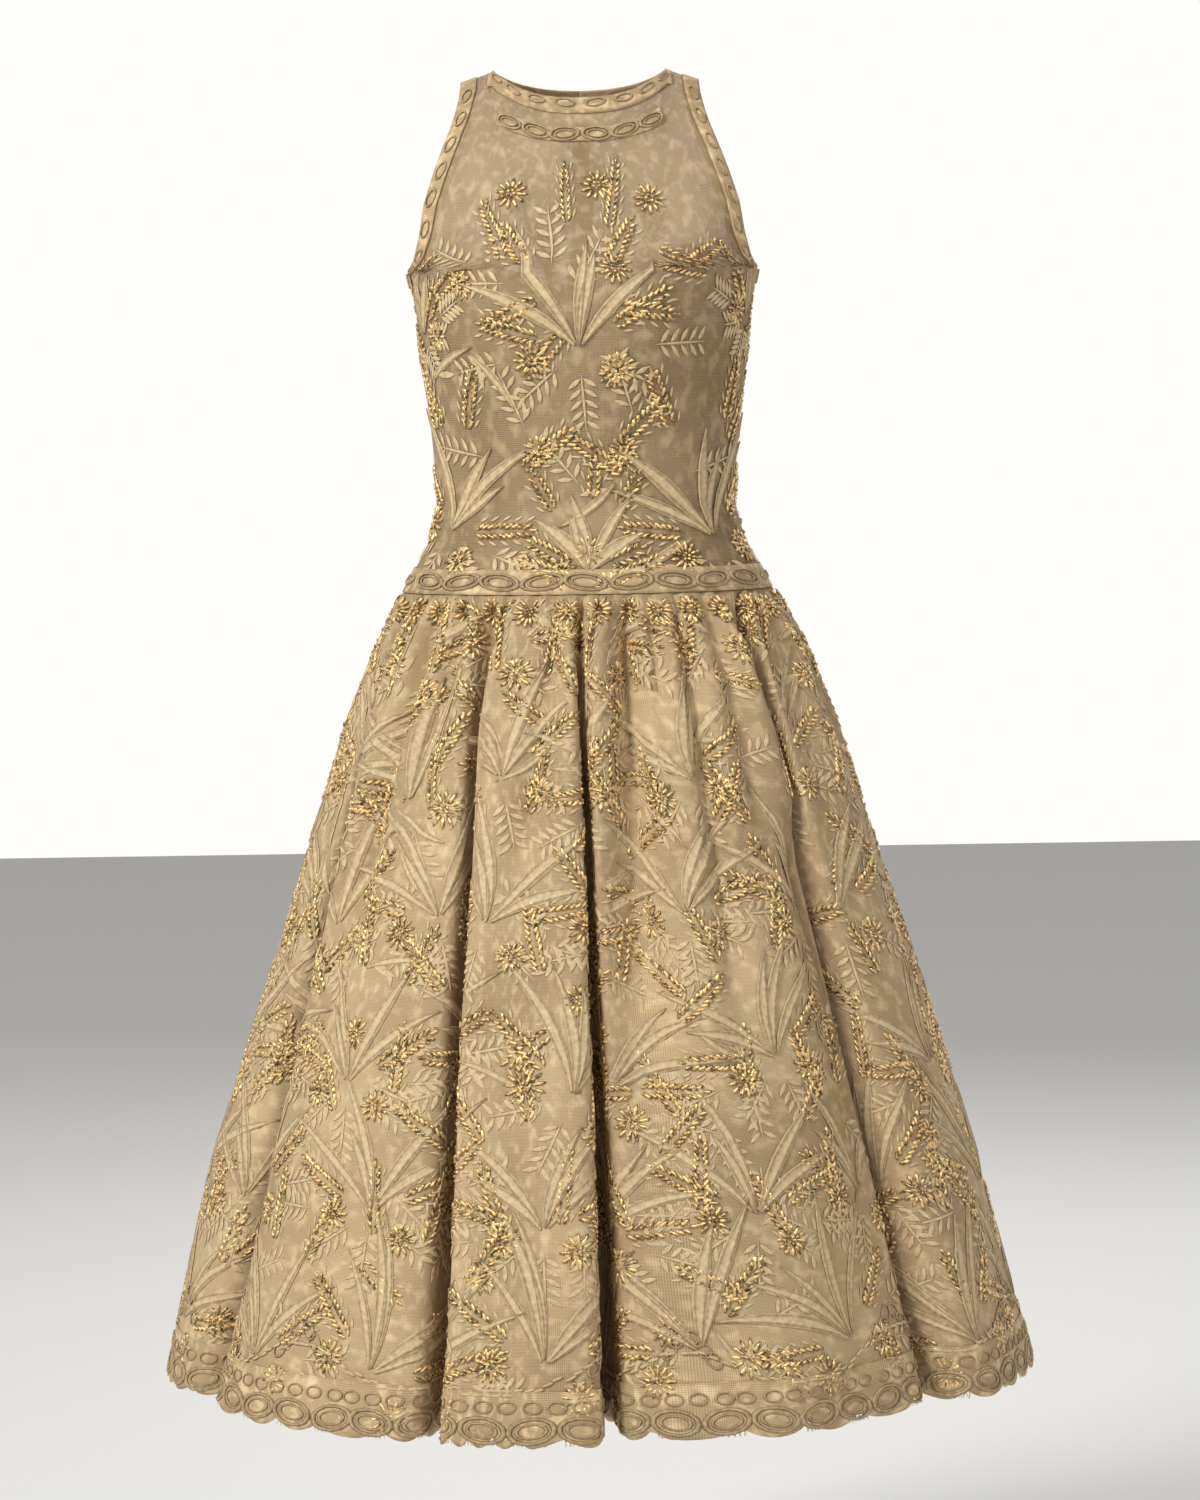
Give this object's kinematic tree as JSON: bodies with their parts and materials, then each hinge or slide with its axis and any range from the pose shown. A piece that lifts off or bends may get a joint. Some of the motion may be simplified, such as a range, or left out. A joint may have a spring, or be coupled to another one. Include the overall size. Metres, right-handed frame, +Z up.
{
  "type": "evening gown",
  "caption": "Sleeveless ballerina-length evening gown of champagne and gold lace, with a sheer yoke, dropped waist and full skirt.",
  "frame": {"origin": "centre line between the shoulder straps, at the height of their outer edges, where the wearer holds the gown up", "axes": "+Z up, front of the gown towards -Y, +X towards the wearer's left"},
  "size_m": [0.7499, 0.6662, 1.1149],
  "materials": {
    "lace": "matte",
    "lining": "satin",
    "galloon": "satin",
    "skirt_lace": "matte"
  },
  "bodies": {
    "root": {"bodice_front": "lace", "bodice_back_left": "lace", "bodice_back_right": "lace", "back_placket": "lace", "underbodice_front": "lining", "underbodice_back_left": "lining", "underbodice_back_right": "lining", "neck_galloon_front": "galloon", "neck_galloon_left": "galloon", "neck_galloon_right": "galloon", "yoke_galloon": "galloon", "waist_galloon_front": "galloon", "waist_galloon_left": "galloon", "waist_galloon_right": "galloon", "armhole_galloon_front_left": "galloon", "armhole_galloon_front_right": "galloon", "armhole_galloon_back_left": "galloon", "armhole_galloon_back_right": "galloon", "skirt_front": "skirt_lace", "skirt_side_left": "skirt_lace", "skirt_back_left": "skirt_lace", "skirt_back_right": "skirt_lace", "skirt_side_right": "skirt_lace", "hem_galloon_front": "galloon", "hem_galloon_side_left": "galloon", "hem_galloon_back_left": "galloon", "hem_galloon_back_right": "galloon", "hem_galloon_side_right": "galloon"}
  },
  "joints": []
}
